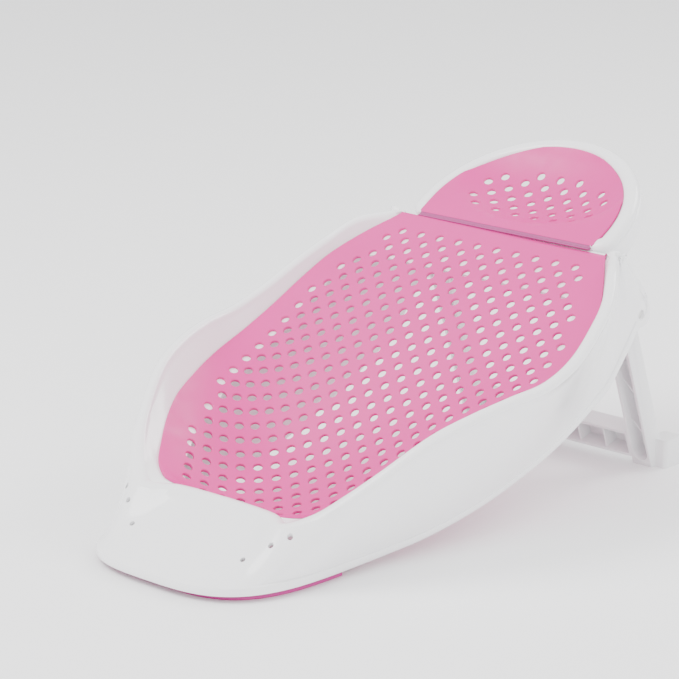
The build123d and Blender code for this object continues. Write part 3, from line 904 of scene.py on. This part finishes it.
# ---- stand -------------------------------------------------------------------------------------
def stand():
    """The stand's moulding with its edges eased as the mould leaves them."""
    piece = frame["nodes"]["stand_frame"].copy()
    piece.data = piece.data.copy()
    piece.parent = None
    piece.name = piece.data.name = "stand_moulding"
    bpy.context.scene.collection.objects.link(piece)
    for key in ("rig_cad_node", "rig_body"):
        if key in piece:
            del piece[key]
    work = bmesh.new()
    work.from_mesh(piece.data)
    bmesh.ops.remove_doubles(work, verts=work.verts, dist=0.00002)
    bmesh.ops.dissolve_limit(work, angle_limit=radians(1), verts=work.verts, edges=work.edges)
    work.to_mesh(piece.data)
    work.free()
    soften = piece.modifiers.new("soften", "BEVEL")
    soften.width, soften.segments, soften.limit_method = 0.5 * MM, 2, "ANGLE"
    soften.angle_limit = radians(40)
    plain(piece)
    for polygon in piece.data.polygons:
        polygon.use_smooth = True
    piece.data.set_sharp_from_angle(angle=radians(40))
    piece.data.materials.clear()
    piece.data.materials.append(satin_polypropylene)
    return finished(piece, "stand", ["stand_frame"])


def pins():
    """The stand's pivot pins keep their CAD shape and take their material."""
    for name in ("stand_pivot_pin_left", "stand_pivot_pin_right"):
        node = frame["nodes"][name]
        for place in node.material_slots:
            place.material = slick_acetal


# ---- room, light and camera ----------------------------------------------------------------------
def room():
    """Floor, even white surroundings and three soft lamps."""
    mesh = bpy.data.meshes.new("floor")
    far = 6.0
    mesh.from_pydata([(-far, -far, 0), (far, -far, 0), (far, far, 0), (-far, far, 0)], [],
                     [(0, 1, 2, 3)])
    mesh.materials.append(pale_board)
    floor = bpy.data.objects.new("floor", mesh)
    bpy.context.scene.collection.objects.link(floor)
    world = bpy.data.worlds.new("studio")
    world.use_nodes = True
    world.node_tree.nodes["Background"].inputs[0].default_value = colour("#FFFFFF")
    world.node_tree.nodes["Background"].inputs[1].default_value = 1.6
    bpy.context.scene.world = world
    # each lamp's name, place and width in metres, and watts
    for name, spot, size, power in (("key", (-0.9, -1.3, 2.1), 1.6, 62),
                                    ("fill", (2.0, -0.6, 1.2), 1.8, 20),
                                    ("rim", (0.6, 1.9, 1.6), 1.2, 30)):
        lamp = bpy.data.lights.new(name, "AREA")
        lamp.shape, lamp.size, lamp.energy = "DISK", size, power
        light = bpy.data.objects.new(name, lamp)
        bpy.context.scene.collection.objects.link(light)
        light.location = spot
        light.rotation_euler = (Vector((0, 0, 0.1)) - Vector(spot)).to_track_quat("-Z", "Y").to_euler()


def camera():
    """A long lens, from the front left of the occupant and a little above."""
    azimuth, elevation, distance = radians(42.99), radians(15.49), 2.3767
    before_crease = 0.1581
    target = Vector((-0.0403, crease_y * MM - before_crease, 0.1345))
    away = Vector((sin(azimuth) * cos(elevation), -cos(azimuth) * cos(elevation), sin(elevation)))
    lens = bpy.data.cameras.new("camera")
    lens.lens, lens.sensor_width = 153.7, 36
    eye = bpy.data.objects.new("camera", lens)
    bpy.context.scene.collection.objects.link(eye)
    eye.location = target + away * distance
    eye.rotation_euler = (-away).to_track_quat("-Z", "Y").to_euler()
    bpy.context.scene.camera = eye


camera()
room()
main_shell()
grip_strip()
perforations = perforation_tree()
hole_punch = punch_object()
seat_liner(perforations, hole_punch)
headrest_shell()
headrest_liner(perforations, hole_punch)
bpy.data.objects.remove(hole_punch)
neck_hinge()
stand()
pins()
